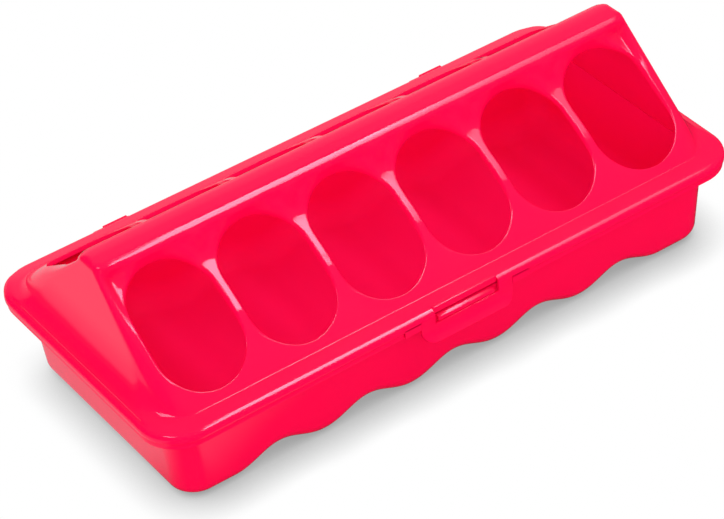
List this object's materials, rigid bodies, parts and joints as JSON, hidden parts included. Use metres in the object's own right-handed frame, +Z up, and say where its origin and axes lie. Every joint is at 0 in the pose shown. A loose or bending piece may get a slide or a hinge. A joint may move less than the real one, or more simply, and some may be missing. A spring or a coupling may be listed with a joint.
{
  "type": "holed plastic feeder",
  "caption": "Long trough feeder for chicks: wavy-floored plastic tray under a hinged gable lid with oval feeding holes in both slopes and a front snap latch.",
  "frame": {"origin": "Centre of the overall box in X and Y, on the plane of the trough's feet.", "axes": "+X runs along the feeder, +Y goes from the latch side to the hinge side, +Z is up from the floor to the lid's ridge."},
  "size_m": [0.3, 0.1496, 0.092],
  "materials": {
    "red_moulding": "glossy moulded polypropylene, bright red",
    "red_pin": "moulded polypropylene, bright red, unpolished"
  },
  "bodies": {
    "trough": {"feed_trough": "red_moulding", "latch_catch": "red_moulding", "hinge_bracket_left": "red_moulding", "hinge_pin_left": "red_pin", "hinge_bracket_right": "red_moulding", "hinge_pin_right": "red_pin"},
    "lid": {"feeding_lid": "red_moulding", "lid_clip_left": "red_moulding", "lid_clip_right": "red_moulding"},
    "tab": {"latch_tab": "red_moulding"}
  },
  "joints": [
    {"name": "lid_hinge", "type": "hinge", "parent": "trough", "child": "lid", "pos_m": [0, 0.0714, 0.037], "axis": [-1, 0, 0], "range_deg": [0, 160]},
    {"name": "tab_flex", "type": "hinge", "parent": "lid", "child": "tab", "pos_m": [0, -0.0718, 0.0433], "axis": [-1, 0, 0], "range_deg": [0, 16], "stiffness_Nm_per_rad": 0.2}
  ]
}
